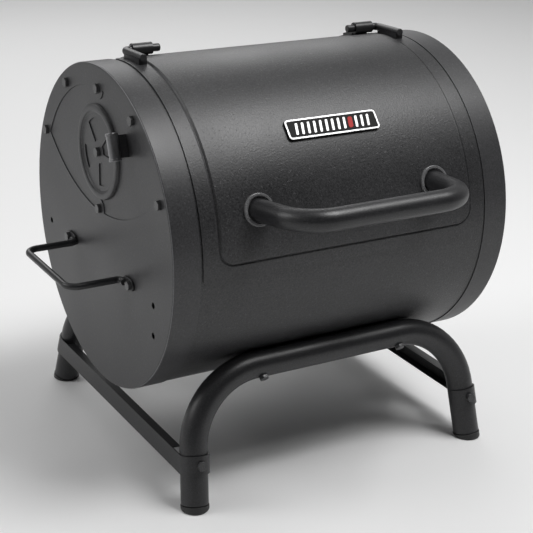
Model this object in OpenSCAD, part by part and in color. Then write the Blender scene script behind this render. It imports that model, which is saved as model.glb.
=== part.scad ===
// Table-top charcoal barrel grill: a drum with two pressed end caps, a curved lid
// on two rear hinges, an air damper on the left end, two carry handles and a stand
// of two bent-tube leg frames joined by channel stretchers.
// X runs along the drum, -Y is the front, +Z is up; the table is z = 0.

/* [Barrel] */
// Outside radius of the end caps
barrel_r = 190; // [150:1:240]
// Length over both end caps
barrel_l = 442; // [340:1:560]
// Height of the drum's axis above the table
axis_h = 280; // [250:1:340]
// Sheet thickness of drum, caps, lid and cover plate
sheet_t = 1; // [0.6:0.1:1.5]
// Width of the skirt of each end cap
cap_w = 32.5; // [20:0.5:45]
// Outside corner radius of the end caps
cap_round = 2; // [2:0.5:6]

/* [Lid] */
// Angle of the lid's lower front edge, up from the front
lid_from = -2.5; // [-10:0.5:5]
// Angle of the lid's rear edge
lid_to = 100.3; // [95:0.1:104]
// Clear gap between lid and drum sheet
lid_fit = 0.4; // [0.3:0.1:1]
// Gap between the lid's ends and the end caps
lid_end_gap = 2.7; // [1:0.1:5]
// Overlap of the lid over the front edge of the opening, in degrees
lid_lap_front = 4; // [2:0.5:8]
// Overlap of the lid over the rear edge of the opening, in degrees
lid_lap_rear = 2.8; // [1.5:0.1:4]
// Overlap of the lid over each end of the opening
lid_lap_end = 6.3; // [4:0.1:12]
// Height of the pressed panel in the lid
panel_rise = 1.5; // [0:0.1:3]
// Plain border from the lid's ends to the panel
panel_border = 17.8; // [14:0.1:30]
// Plain border below the panel, in degrees
panel_low = 4.5; // [2:0.5:10]
// Plain border behind the panel, in degrees
panel_high = 4.3; // [3:0.1:10]
// Corner radius of the panel
panel_round = 20; // [6:1:30]

/* [Lid handle] */
// Outside diameter of the handle tube
handle_d = 25.4; // [18:0.1:32]
// Distance between the handle's feet
handle_feet = 231; // [160:1:280]
// Angle of the feet on the lid, up from the front
handle_a = 19.25; // [10:0.25:40]
// Distance of the grip from the lid surface
handle_out = 81.7; // [60:0.5:110]
// Upward slope of the handle's legs
handle_rise = 6.1; // [-10:0.1:20]
// Bend radius of the handle
handle_bend = 42; // [30:1:50]
// Splay of the handle's legs
handle_splay = 7.6; // [0:0.1:15]
// Outside diameter of the handle collars
collar_d = 36.5; // [32:0.5:45]
// Height of the handle collars
collar_h = 3; // [1:0.5:6]

/* [Name plate] */
// Length of the name plate
badge_l = 120; // [60:1:160]
// Height of the name plate
badge_w = 25; // [15:1:40]
// Thickness of the name plate
badge_t = 3; // [1.5:0.5:5]
// Angle of the name plate, up from the front
badge_a = 43.5; // [30:0.5:60]

/* [Lid hinges] */
// Angle of the hinge axis, up from the front
hinge_a = 100; // [97:0.5:106]
// Height of the hinge axis above the lid surface
hinge_up = 8.0; // [8:0.1:14]
// Diameter of the hinge rod
hinge_rod_d = 9; // [6:0.5:12]
// Running clearance of the hinge rod in its sleeve, each side
hinge_fit = 0.06; // [0.02:0.01:0.1]
// Distance of the hinge arms in from the lid's ends
hinge_arm_in = 12.8; // [9:0.1:60]
// Arc covered by the hinge arm, in degrees
hinge_arm_arc = 15; // [10:0.5:20]
// Angles of the hinge bracket's two bolts, up from the front
wing_a = [111, 118.5]; // [106:0.5:121]
// Length of the hinge sleeve
sleeve_l = 25; // [15:1:40]
// Outside diameter of the hinge sleeve
sleeve_d = 14; // [12:0.5:18]

/* [Cover plate and damper] */
// Radius of the upper edge of the cut-out in the left cap
cut_r = 165; // [130:1:175]
// Radius of the lower edge of the cut-out
cut_low_r = 220; // [180:1:300]
// Height of the lowest point of the cut-out above the axis
cut_low_z = 20; // [5:1:40]
// Diameter of the three spare holes in the left cap
spare_d = 7; // [4:0.5:10]
// Radius of the tabs around the top and bottom bolts
cut_tab_r = 12; // [9:0.5:13]
// Height of the damper's pivot above the axis
damper_z = 90.5; // [80:0.5:100]
// Radius of the damper disc
damper_r = 55; // [40:0.5:58]
// Width of the raised ring round the damper disc
damper_ring = 11.4; // [6:0.2:14]
// Width of each damper window, in degrees
window_arc = 43; // [30:0.5:44]
// Outer radius of the damper windows
window_out = 39; // [25:0.5:42]
// Inner radius of the damper windows
window_in = 13; // [10:0.5:20]
// Clear gap between damper disc and cover plate
damper_fit = 0.3; // [0.3:0.05:0.8]
// Direction of the damper grip, up from the front
grip_a = 20.5; // [0:0.5:45]
// Diameter of the damper grip
grip_d = 14; // [8:0.5:16]
// Length of the damper grip
grip_l = 31; // [20:1:40]
// Distance of the bent tab from the damper's pivot
grip_reach = 81; // [70:0.5:84]
// Distance of the grip's middle from the damper disc
grip_out = 16.5; // [14:0.5:30]

/* [Carry handles] */
// Diameter of the handle rod
carry_d = 8; // [6:0.5:12]
// Distance between the two legs
carry_w = 130; // [90:1:140]
// Reach from the end cap to the grip
carry_out = 67; // [45:1:80]
// Height of the carry handles relative to the axis
carry_z = -40; // [-60:1:-34]
// Distance from each leg to its bolt
carry_foot = 22; // [20:1:40]
// Thickness of the flattened feet
carry_foot_t = 3; // [2:0.5:4]

/* [Stand] */
// Diameter of the leg tube
leg_d = 31.8; // [25:0.1:40]
// Wall of the leg tube
leg_wall = 1.2; // [1:0.1:2]
// Angle below the front at which the frames carry the drum
leg_a = 41.3; // [30:0.1:50]
// Length of the straight top of each frame
leg_straight = 198; // [140:1:240]
// Bend radius of the frames
leg_bend = 87.5; // [60:0.5:100]
// Splay of the legs to the ends
leg_splay = 4.7; // [0:0.1:10]
// Distance of the feet from the middle, front to back
foot_y = 190; // [160:1:220]
// Height of the foot plug's rim
foot_h = 5; // [3:0.5:10]
// Distance of the frame bolts from the bends
leg_bolt_in = 5; // [5:0.5:40]

/* [Stretchers] */
// Height of the stretchers above the table
rail_z = 51.5; // [35:1:70]
// Depth of the stretcher channel
rail_h = 22; // [20:1:36]
// Width of the stretcher flanges
rail_w = 11; // [6:0.5:14]
// Sheet thickness of the stretchers
rail_t = 1.2; // [1:0.1:2]

/* [Grates] */
// Height of the cooking grate relative to the axis
grate_z = -25; // [-40:1:-20]
// Gap between the cooking grate's ends and the end caps
grate_end_gap = 14; // [12:1:60]
// Gap between the cooking grate's sides and the drum at axis height
grate_side_gap = 12; // [8:1:40]
// Diameter of the grates' frame rods
grate_rod = 6; // [5:0.5:8]
// Diameter of the grates' cross rods
grate_wire = 4; // [3:0.5:5]
// Spacing of the cooking grate's cross rods
grate_pitch = 20; // [14:1:30]
// Gap between the charcoal grate's long rods and the drum at axis height
coal_side_gap = 34; // [28:1:60]
// Gap between the charcoal grate's ends and the end caps
coal_end_gap = 22; // [12:1:60]

/* [Fasteners] */
// Diameter of the bolts
bolt_d = 6; // [5:1:8]
// Width across flats of bolt heads and nuts
bolt_af = 10; // [8:0.5:13]
// Height of the bolt heads
bolt_head = 4; // [3:0.5:6]
// Clearance of bolts in their holes, across the diameter
bolt_fit = 0.6; // [0.4:0.1:1]
// Diameter of the hinge screws
screw_d = 5; // [4:0.5:6]

/* [Hidden] */
$fn = 96;

black = [0.12, 0.12, 0.13];
dark = [0.18, 0.18, 0.19];
steel = [0.45, 0.45, 0.47];

half_l = barrel_l / 2;
shell_ro = barrel_r - sheet_t;
shell_ri = shell_ro - sheet_t;
shell_half = half_l - cap_round - 0.4;
cap_in = half_l - sheet_t;
lid_ri = shell_ro + lid_fit;
lid_ro = lid_ri + sheet_t;
lid_half = half_l - cap_w - lid_end_gap;
panel_ro = lid_ro + panel_rise;
panel_half = lid_half - panel_border;
open_half = lid_half - lid_lap_end;
washer_r = panel_ro - sheet_t - 1.7;
collar_fit = 2;
hinge_r = lid_ro + hinge_up;
hinge_arm_x = lid_half - hinge_arm_in;
rod_r = hinge_rod_d / 2;
arm_l = 2 * hinge_r * sin(hinge_arm_arc / 2);
arm_polar = 180 + hinge_arm_arc / 2;
sleeve_x1 = hinge_arm_x - rod_r - 4.5;
sleeve_x0 = sleeve_x1 - sleeve_l;
pin_x = sleeve_x0 - 10;
plate_out = cap_in;
plate_in = cap_in - sheet_t;
disc_out = plate_out + damper_fit + sheet_t;
cut_low_c = cut_low_z + cut_low_r;
tip_z = (cut_r * cut_r - cut_low_r * cut_low_r + cut_low_c * cut_low_c) / (2 * cut_low_c);
tip_y = sqrt(cut_r * cut_r - tip_z * tip_z);
cover_bolts = [
    [0, cut_r - 1], [0, cut_low_z + 3],
    [0.545 * cut_r, 0.909 * cut_r], [-0.545 * cut_r, 0.909 * cut_r],
    [tip_y + 9.5, tip_z], [-tip_y - 9.5, tip_z]];
tube_r = leg_d / 2;
leg_axis_r = shell_ro + tube_r;
leg_top_y = leg_axis_r * cos(leg_a);
leg_top_z = leg_axis_r * sin(leg_a);
leg_fall = axis_h - leg_top_z;
leg_tilt = atan((foot_y - leg_top_y) / leg_fall);
leg_drop = leg_fall / cos(leg_tilt);
leg_half = leg_straight / 2;
leg_bolt_x = leg_half - leg_bolt_in;
foot_x = leg_half + leg_bend * cos(leg_splay)
    + (leg_drop - leg_bend + leg_bend * sin(leg_splay)) * tan(leg_splay);
rail_tilt = atan(tan(leg_splay) / cos(leg_tilt));
rail_lean = asin(cos(leg_splay) * sin(leg_tilt));
rail_x = foot_x - rail_z / cos(leg_tilt) * tan(leg_splay);
rail_y = foot_y - rail_z * tan(leg_tilt);
wrap_t = 1.6;
handle_r = handle_d / 2;
handle_ri = handle_r - 1.5;
sleeve_mid = (sleeve_x0 + sleeve_x1) / 2;
wing_t = 2;
carry_bend = 14;
carry_turn = 6;
// Spare holes, as front-to-back and height over the drum's radius.
spare_holes = [[0.79, -0.21], [-0.742, -0.232], [-0.742, -0.421]];
// A straight rod or tube is this much thinner than its bends, and reaches this far into them.
thin = 0.03;
reach = 0.3;
grip_y = -(lid_ro * cos(handle_a) + handle_out * cos(handle_rise));
grip_z = lid_ro * sin(handle_a) + handle_out * sin(handle_rise);
handle_half = handle_feet / 2 - handle_bend * cos(handle_splay)
    - (handle_out - handle_bend + handle_bend * sin(handle_splay)) * tan(handle_splay);
carry_y = carry_w / 2;
carry_bolt_y = carry_y + carry_foot;
grate_x = cap_in - grate_end_gap;
grate_y = shell_ri - grate_side_gap;
coal_x = cap_in - coal_end_gap;
coal_y = shell_ri - coal_side_gap;
coal_r = shell_ri - grate_rod / 2 - 0.3;
coal_z = -sqrt(coal_r * coal_r - coal_y * coal_y);
rest_top = grate_z - grate_rod / 2;
rest_half = carry_bolt_y + 20;
rest_t = 1.5;
front_most = grip_y - handle_r;
rear_most = foot_y + tube_r / cos(leg_tilt) + 0.8;
axis_y = -(front_most + rear_most) / 2;

// Everything is drawn round the drum's axis and put in place once.
module placed() { translate([0, axis_y, axis_h]) children(); }
// Local Z points out of the drum at angle a, local Y round it.
module at_angle(a, r = 0) { rotate([90 - a, 0, 0]) translate([0, 0, r]) children(); }
module along_x(x0, x1, r) {
    translate([x0, 0, 0]) rotate([0, 90, 0]) cylinder(r = r, h = x1 - x0, $fn = r > 60 ? 480 : 96);
}
module yz(x0, h) { translate([x0, 0, 0]) rotate([90, 0, 90]) linear_extrude(h) children(); }
module both() { for (m = [0, 1]) mirror([m, 0, 0]) children(); }
module front_rear() { for (m = [0, 1]) mirror([0, m, 0]) children(); }
// Wedge of the drum between angles a0 and a1, cut by planes through the axis.
module wedge(a0, a1, x0, x1) {
    far = 700;
    mid = (a0 + a1) / 2;
    yz(x0, x1 - x0) polygon([[0, 0],
        [-far * cos(a0), far * sin(a0)], [-far * cos((a0 + mid) / 2), far * sin((a0 + mid) / 2)],
        [-far * cos(mid), far * sin(mid)], [-far * cos((a1 + mid) / 2), far * sin((a1 + mid) / 2)],
        [-far * cos(a1), far * sin(a1)]]);
}
// Piece that rounds one corner of a panel on the drum. It crosses both edges at a slight angle.
module corner_cut(a, x, r, da, dx) {
    near = r - 0.2;
    at_angle(a - da * asin(near / lid_ro)) translate([x - dx * near, 0, 0]) difference() {
        translate([dx > 0 ? 0 : -r - 20, da > 0 ? 0 : -r - 20, 150]) cube([r + 20, r + 20, 80]);
        translate([0, 0, 140]) cylinder(r = r, h = 100);
    }
}
module curved_panel(r0, r1, a0, a1, xh, round) {
    difference() {
        intersection() {
            difference() { along_x(-xh, xh, r1); along_x(-xh - 1, xh + 1, r0); }
            wedge(a0, a1, -xh - 2, xh + 2);
        }
        for (s = [-1, 1]) {
            corner_cut(a0, s * xh, round, -1, s);
            corner_cut(a1, s * xh, round, 1, s);
        }
    }
}
// Bent tube: a straight top along X, two bends and two legs going down to z = -drop.
module hoop(r, half, bend, splay, drop, ri = 0) {
    inner = ri > 0 ? ri + thin : 0;
    leg = (drop - bend + bend * sin(splay)) / cos(splay);
    translate([-half - reach, 0, 0]) rotate([0, 90, 0]) pipe(r - thin, inner, 2 * half + 2 * reach);
    both() {
        translate([half, 0, -bend]) rotate([90, 0, 0])
            rotate_extrude(angle = 90 - splay, start = splay) translate([bend, 0]) ring(r, ri);
        translate([half + bend * cos(splay), 0, -bend + bend * sin(splay)])
            rotate([0, 180 - splay, 0]) translate([0, 0, -reach]) pipe(r - thin, inner, leg + reach);
    }
}
module ring(r, ri) { difference() { circle(r); if (ri > 0) circle(ri); } }
module pipe(r, ri, h) {
    difference() {
        cylinder(r = r, h = h);
        if (ri > 0) translate([0, 0, -1]) cylinder(r = ri, h = h + 2);
    }
}
// Hexagon bolt: the head stands on z = 0, the shank hangs below it.
module bolt(len, d = bolt_d, af = bolt_af, head = bolt_head) {
    cylinder(r = af / 2 / cos(30), h = head, $fn = 6);
    translate([0, 0, -len]) cylinder(r = d / 2, h = len + 0.5);
}
module nut(h = 5, d = bolt_d, af = bolt_af) {
    difference() {
        cylinder(r = af / 2 / cos(30), h = h, $fn = 6);
        translate([0, 0, -1]) cylinder(r = d / 2 + 0.05, h = h + 2);
    }
}
module hole(h0, h1, d = bolt_d + bolt_fit) { translate([0, 0, h0]) cylinder(r = d / 2, h = h1 - h0); }
// Local Z points out of the left end cap, with the origin on the axis at distance x.
module left_face(x, y, z) { translate([-x, y, z]) rotate([0, -90, 0]) children(); }
module cup(r, h, f) {
    square([r - f, h]);
    translate([0, f]) square([r, h - f]);
    translate([r - f, f]) circle(f);
}
module cap_blank() {
    translate([-half_l, 0, 0]) rotate([0, 90, 0]) rotate_extrude($fn = 480) difference() {
        cup(barrel_r, cap_w, cap_round);
        translate([0, sheet_t]) cup(barrel_r - sheet_t, cap_w, cap_round - sheet_t);
    }
}
module carry_holes() {
    for (s = [-1, 1]) left_face(half_l, s * carry_bolt_y, carry_z) hole(-30, 10);
}
// Places things on the leg frames: local Z runs up the leg from the front right foot.
module frame_place() {
    translate([0, -leg_top_y, -leg_top_z]) rotate([-leg_tilt, 0, 0]) children();
}
module at_foot() {
    frame_place() translate([foot_x, 0, -leg_drop]) rotate([0, -leg_splay, 0]) children();
}
// Local X points out of the right side at the stretcher, local Z up the leg's side.
module at_rail() {
    translate([rail_x, -rail_y, rail_z - axis_h]) rotate([0, -rail_tilt, 0]) children();
}
module at_rail_bolt() { at_rail() rotate([-rail_lean, 0, 0]) children(); }
module at_leg_bolt() { translate([leg_bolt_x, 0, 0]) at_angle(-leg_a) children(); }
module at_wing_bolts(r = 0) { for (a = wing_a) translate([sleeve_mid, 0, 0]) at_angle(a, r) children(); }
module at_hinge() { at_angle(hinge_a, hinge_r) children(); }
module at_arm() { at_hinge() rotate([arm_polar, 0, 0]) children(); }
module at_handle_foot(r = 0) { translate([handle_feet / 2, 0, 0]) at_angle(handle_a, r) children(); }
module at_stud(r = 0) { translate([badge_l / 2 - 15, 0, 0]) at_angle(badge_a, r) children(); }
module at_handle() { translate([0, grip_y, grip_z]) rotate([90 - handle_rise, 0, 0]) children(); }
module handle_tube(r, ri = 0) {
    hoop(r, handle_half, handle_bend, handle_splay, handle_out + 4, ri);
}

module barrel_shell() {
    color(black) placed() difference() {
        along_x(-shell_half, shell_half, shell_ro);
        along_x(-shell_half - 1, shell_half + 1, shell_ri);
        wedge(lid_from + lid_lap_front, lid_to - lid_lap_rear, -open_half, open_half);
        both() {
            front_rear() at_leg_bolt() hole(shell_ri - 5, shell_ro + 5);
            at_wing_bolts() hole(shell_ri - 5, shell_ro + 5, screw_d + bolt_fit);
        }
    }
}

module cut_shape(g) {
    difference() {
        intersection() {
            circle(cut_r + g);
            translate([0, cut_low_c]) circle(cut_low_r + g);
        }
        if (g == 0) for (i = [0, 1]) translate(cover_bolts[i]) circle(cut_tab_r);
    }
}
module left_end_cap() {
    color(dark) placed() difference() {
        cap_blank();
        yz(-half_l - 5, 10) cut_shape(0);
        for (p = cover_bolts) left_face(half_l, p[0], p[1]) hole(-10, 10);
        carry_holes();
        for (p = spare_holes) left_face(half_l, p[0] * barrel_r, p[1] * barrel_r) hole(-10, 10, spare_d);
    }
}
module right_end_cap() {
    color(dark) placed() mirror([1, 0, 0]) difference() {
        cap_blank();
        carry_holes();
    }
}

// Quarter windows of the damper, starting at angle a.
module windows(a) {
    far = 100;
    for (k = [0:3]) rotate([0, 0, a + 90 * k]) difference() {
        intersection() {
            circle(window_out);
            polygon([[0, 0], [far, 0], [far, far * tan(window_arc / 2)],
                [far * cos(window_arc), far * sin(window_arc)]]);
        }
        circle(window_in);
    }
}
module cover_plate() {
    color(dark) placed() difference() {
        yz(-plate_out, sheet_t) cut_shape(13);
        // The plate must clear the curved inside corner of the cap.
        difference() {
            along_x(-plate_out - 1, -plate_in + 1, barrel_r * 2);
            along_x(-plate_out - 2, -plate_in + 2, barrel_r - cap_round - 1);
        }
        for (p = cover_bolts) left_face(half_l, p[0], p[1]) hole(-10, 10);
        left_face(half_l, 0, damper_z) hole(-10, 10);
        yz(-plate_out - 3, 6) translate([0, damper_z]) mirror([1, 0]) windows(46);
    }
}
module cover_plate_bolts() {
    color(steel) placed() for (p = cover_bolts) left_face(half_l, p[0], p[1]) bolt(8.5);
}
module cover_plate_nuts() {
    color(steel) placed() for (p = cover_bolts) left_face(plate_in, p[0], p[1]) mirror([0, 0, 1]) nut();
}
module damper_pivot_bolt() {
    color(steel) placed() left_face(disc_out + damper_fit, 0, damper_z) bolt(9);
}
module damper_pivot_nut() {
    color(steel) placed() left_face(plate_in, 0, damper_z) mirror([0, 0, 1]) nut();
}
module bead(w, h, t) {
    br = (w * w / 4 + h * h) / (2 * h);
    translate([damper_r - w / 2 - 0.01, h - br]) difference() {
        circle(br);
        circle(br - t);
        translate([-50, -100 + br - h]) square([100, 100]);
    }
}
// Arm of the damper, bent up into a tab that carries the grip; in the disc's frame X is
// up and -Y is the front.
module at_grip() { rotate([0, 0, 270 + grip_a]) children(); }
module grip_tab(above, low) {
    inner = damper_r - 1.8;
    outer = grip_reach + sheet_t / 2;
    top = grip_out + above;
    translate([0, 12.5, 0]) rotate([90, 0, 0]) linear_extrude(25) polygon([
        [inner, low], [outer, low], [outer, top], [outer - sheet_t, top],
        [outer - sheet_t, low + sheet_t], [inner, low + sheet_t]]);
}
module damper_disc() {
    color(dark) placed() difference() {
        left_face(plate_out + damper_fit, 0, damper_z) difference() {
            union() {
                cylinder(r = damper_r - damper_ring + 0.9, h = sheet_t);
                rotate_extrude() bead(damper_ring, 3.2, sheet_t);
                at_grip() grip_tab(0, 0.2);
            }
            translate([0, 0, -1]) cylinder(r = bolt_d / 2 + 0.05, h = 10);
        }
        yz(-disc_out - 3, 6) translate([0, damper_z]) mirror([1, 0]) windows(1);
    }
}
module damper_grip() {
    color(steel) placed() left_face(plate_out + damper_fit, 0, damper_z) at_grip() difference() {
        translate([grip_reach, -grip_l / 2, grip_out]) rotate([-90, 0, 0]) difference() {
            cylinder(r = grip_d / 2, h = grip_l);
            translate([0, 0, -1]) cylinder(r = grip_d / 2 - 1.8, h = grip_l + 2);
        }
        grip_tab(0.2, 0.2);
    }
}

module left_carry_handle() { color(black) placed() carry_rod(); }
module right_carry_handle() { color(black) placed() mirror([1, 0, 0]) carry_rod(); }
module carry_rod() {
    r = carry_d / 2;
    difference() {
        union() {
            translate([-half_l - carry_out, 0, carry_z]) rotate([0, 0, 90]) rotate([-90, 0, 0])
                hoop(r, carry_y - carry_bend, carry_bend, 0, carry_out - r - carry_turn + reach);
            front_rear() {
                translate([-half_l - r - carry_turn, carry_y + carry_turn, carry_z])
                    rotate_extrude(angle = 90, start = 270) translate([carry_turn, 0]) circle(r);
                translate([-half_l - r, carry_y + carry_turn, carry_z]) sphere(r = r - thin);
                left_face(half_l, 0, carry_z) {
                    translate([-7, carry_y + carry_turn - 1, 0])
                        cube([14, carry_foot - carry_turn + 1, carry_foot_t]);
                    translate([0, carry_bolt_y, 0]) cylinder(r = 7, h = carry_foot_t);
                }
            }
        }
        carry_holes();
    }
}
module carry_handle_bolts() {
    color(steel) placed() both() for (s = [-1, 1])
        left_face(half_l + carry_foot_t, s * carry_bolt_y, carry_z) bolt(12.5);
}
module carry_handle_nuts() {
    color(steel) placed() both() for (s = [-1, 1])
        left_face(cap_in - rest_t, s * carry_bolt_y, carry_z) mirror([0, 0, 1]) nut();
}

module grate_rest() {
    difference() {
        union() {
            translate([-cap_in, -rest_half, rest_top - 20]) cube([rest_t, 2 * rest_half, 20]);
            translate([-cap_in, -rest_half, rest_top - rest_t]) cube([20, 2 * rest_half, rest_t]);
        }
        carry_holes();
    }
}
module left_grate_rest() { color(steel) placed() grate_rest(); }
module right_grate_rest() { color(steel) placed() mirror([1, 0, 0]) grate_rest(); }
module wire_grate(hx, hy, pitch, support) {
    r = grate_rod / 2;
    w = grate_wire / 2;
    c = 18;
    n = floor((hx - c) / pitch);
    for (s = [-1, 1]) {
        translate([0, s * hy, 0]) along_x(-hx + c, hx - c, r);
        translate([s * hx, -hy + c, 0]) rotate([-90, 0, 0]) cylinder(r = r, h = 2 * hy - 2 * c);
        for (t = [-1, 1]) translate([s * (hx - c), t * (hy - c), 0])
            rotate([0, 0, s > 0 ? (t > 0 ? 0 : 270) : (t > 0 ? 90 : 180)])
                rotate_extrude(angle = 90) translate([c, 0]) circle(r);
        translate([0, s * support, 0.5 - 2 * w]) along_x(-n * pitch - 4, n * pitch + 4, w);
    }
    for (k = [-n:n])
        translate([k * pitch, -hy, 0]) rotate([-90, 0, 0]) cylinder(r = w, h = 2 * hy);
}
module cooking_grate() {
    color(steel) placed() translate([0, 0, grate_z])
        wire_grate(grate_x - grate_rod / 2, grate_y - grate_rod / 2, grate_pitch, 70);
}
module charcoal_grate() {
    color(dark) placed() translate([0, 0, coal_z])
        wire_grate(coal_x - grate_rod / 2, coal_y, grate_pitch + 2, 60);
}

module leg_frame() {
    difference() {
        frame_place() hoop(tube_r, leg_half, leg_bend, leg_splay, leg_drop + 10, tube_r - leg_wall);
        translate([-400, -400, -axis_h - 60]) cube([800, 800, 60 + foot_h]);
        both() {
            at_leg_bolt() hole(shell_ro - 10, shell_ro + 60);
            at_rail_bolt() rotate([90, 0, 0]) hole(-40, 40);
        }
    }
}
module front_leg_frame() { color(black) placed() leg_frame(); }
module rear_leg_frame() { color(black) placed() mirror([0, 1, 0]) leg_frame(); }
module foot() {
    difference() {
        at_foot() translate([0, 0, -12]) cylinder(r = tube_r + 0.8, h = 52);
        translate([-400, -400, -axis_h - 60]) cube([800, 800, 60]);
        difference() {
            translate([-400, -400, -axis_h + foot_h]) cube([800, 800, 60]);
            at_foot() translate([0, 0, -12]) cylinder(r = tube_r - leg_wall, h = 36);
        }
    }
}
module foot_front_left() { color(dark) placed() mirror([1, 0, 0]) foot(); }
module foot_front_right() { color(dark) placed() foot(); }
module foot_rear_left() { color(dark) placed() mirror([0, 1, 0]) mirror([1, 0, 0]) foot(); }
module foot_rear_right() { color(dark) placed() mirror([0, 1, 0]) foot(); }
module leg_bolts() {
    color(steel) placed() both() front_rear() at_leg_bolt()
        translate([0, 0, shell_ro + leg_d]) bolt(leg_d + 9);
}
module leg_nuts() {
    color(steel) placed() both() front_rear() at_leg_bolt()
        translate([0, 0, shell_ri - 0.2]) mirror([0, 0, 1]) nut();
}

module stretcher() {
    web = tube_r + 0.3;
    y1 = tube_r + 8;
    y2 = 2 * rail_y - y1;
    half_h = rail_h / 2;
    lean = half_h * tan(rail_lean);
    difference() {
        union() {
            at_rail() {
                yz(web, rail_t) polygon([
                    [-1 - lean, -half_h], [2 * rail_y + 1 + lean, -half_h],
                    [2 * rail_y + 1 - lean, half_h], [-1 + lean, half_h]]);
                for (z = [-half_h, half_h - rail_t])
                    translate([web + rail_t - rail_w, y1, z]) cube([rail_w, y2 - y1, rail_t]);
            }
            front_rear() at_rail_bolt() difference() {
                translate([0, 0, -half_h]) cylinder(r = tube_r + wrap_t, h = rail_h);
                translate([0, 0, -half_h - 1]) cylinder(r = tube_r + 0.05, h = rail_h + 2);
                // Keep the part from the outer side round the front, almost to the inner side.
                translate([-60, 0.5, -40]) cube([120, 60, 80]);
                rotate([0, 0, -75]) translate([-60, -30, -40]) cube([60, 90, 80]);
            }
        }
        front_rear() at_rail_bolt() rotate([90, 0, 0]) hole(0, 40);
    }
}
module right_stretcher() { color(black) placed() stretcher(); }
module left_stretcher() { color(black) placed() mirror([1, 0, 0]) stretcher(); }
module stretcher_bolts() {
    color(steel) placed() both() front_rear() at_rail_bolt() rotate([90, 0, 0])
        translate([0, 0, tube_r + wrap_t]) bolt(leg_d + wrap_t + 8);
}
module stretcher_nuts() {
    color(steel) placed() both() front_rear() at_rail_bolt() rotate([90, 0, 0])
        translate([0, 0, -tube_r]) mirror([0, 0, 1]) nut();
}

module hinge_bracket() {
    difference() {
        union() {
            at_hinge() {
                along_x(sleeve_x0, sleeve_x1, sleeve_d / 2);
                // Web from the sleeve down to the wing, a little narrower than both.
                yz(sleeve_x0 + 1, sleeve_l - 2) polygon([
                    [0, 6.4], [6.3, 2.4], [26.6, -9.9], [26.3, -14], [10.6, -12], [4.4, -5.2]]);
            }
            intersection() {
                difference() {
                    along_x(sleeve_x0 + 0.5, sleeve_x1 - 0.5, shell_ro + wing_t);
                    along_x(sleeve_x0 - 1, sleeve_x1 + 1, shell_ro);
                }
                wedge(hinge_a + 3.2, hinge_a + 22, 0, half_l);
            }
        }
        along_x(0, half_l, shell_ro);
        at_hinge() along_x(0, half_l, rod_r + hinge_fit);
        at_wing_bolts() hole(shell_ri - 5, shell_ro + 12, screw_d + bolt_fit);
    }
}
module right_hinge_bracket() { color(black) placed() hinge_bracket(); }
module left_hinge_bracket() { color(black) placed() mirror([1, 0, 0]) hinge_bracket(); }
module hinge_bracket_bolts() {
    color(steel) placed() both() at_wing_bolts(shell_ro + wing_t) bolt(9, screw_d, 8, 3.5);
}
module hinge_bracket_nuts() {
    color(steel) placed() both() at_wing_bolts(shell_ri - 0.2) mirror([0, 0, 1]) nut(4, screw_d, 8);
}
module at_screw(a) { translate([hinge_arm_x, 0, 0]) at_angle(a) children(); }
screw_as = [hinge_a - 12, hinge_a - 6];
module hinge_arm() {
    bend = 7;
    difference() {
        union() {
            at_hinge() along_x(pin_x, hinge_arm_x - bend + reach, rod_r);
            at_arm() {
                translate([hinge_arm_x - bend, bend, 0]) rotate_extrude(angle = 90, start = 270)
                    translate([bend, 0]) circle(rod_r + thin);
                translate([hinge_arm_x, bend - reach, 0]) rotate([-90, 0, 0])
                    cylinder(r = rod_r, h = arm_l - bend + reach);
            }
        }
        for (a = screw_as) at_screw(a) hole(lid_ri, hinge_r + 2, screw_d);
    }
}
module right_hinge_arm() { color(black) placed() hinge_arm(); }
module left_hinge_arm() { color(black) placed() mirror([1, 0, 0]) hinge_arm(); }
module hinge_saddle() {
    difference() {
        at_arm() translate([hinge_arm_x - 5, 10, 1.5]) cube([10, arm_l - 12, 12]);
        along_x(0, half_l, lid_ro);
        at_arm() translate([hinge_arm_x, 0, 0]) rotate([-90, 0, 0])
            cylinder(r = rod_r, h = arm_l + 10);
        for (a = screw_as) at_screw(a) hole(lid_ri - 10, hinge_r + 4, screw_d + 0.2);
    }
}
module right_hinge_saddle() { color(black) placed() hinge_saddle(); }
module left_hinge_saddle() { color(black) placed() mirror([1, 0, 0]) hinge_saddle(); }
module hinge_screws() {
    color(steel) placed() both() for (a = screw_as) at_screw(a) {
        translate([0, 0, lid_ri - 3.1]) cylinder(r = 4.2, h = 3);
        translate([0, 0, lid_ri - 1]) cylinder(r = screw_d / 2 - 0.02, h = hinge_r + 2 - lid_ri);
    }
}

module lid_shell() {
    color(black) placed() difference() {
        union() {
            curved_panel(lid_ri, lid_ro, lid_from, lid_to, lid_half, 6);
            curved_panel(lid_ri + 0.2, panel_ro, lid_from + panel_low, lid_to - panel_high,
                panel_half, panel_round);
        }
        curved_panel(lid_ri - 5, panel_ro - sheet_t, lid_from + panel_low + 0.3,
            lid_to - panel_high - 0.3, panel_half - sheet_t, panel_round - sheet_t);
        both() {
            for (a = screw_as) at_screw(a) hole(lid_ri - 10, lid_ro + 10, screw_d + 0.2);
            at_handle_foot() hole(lid_ri - 10, panel_ro + 10);
            at_stud() hole(lid_ri - 10, panel_ro + 10, 3.4);
        }
    }
}
module lid_handle() {
    color(black) placed() difference() {
        at_handle() handle_tube(handle_r, handle_ri);
        along_x(-half_l, half_l, panel_ro);
    }
}
module lid_handle_plugs() {
    color(steel) placed() difference() {
        intersection() {
            at_handle() handle_tube(handle_ri);
            along_x(-half_l, half_l, panel_ro + 20);
        }
        along_x(-half_l - 1, half_l + 1, panel_ro);
        both() at_handle_foot() hole(panel_ro - 10, panel_ro + 14, bolt_d);
    }
}
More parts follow.
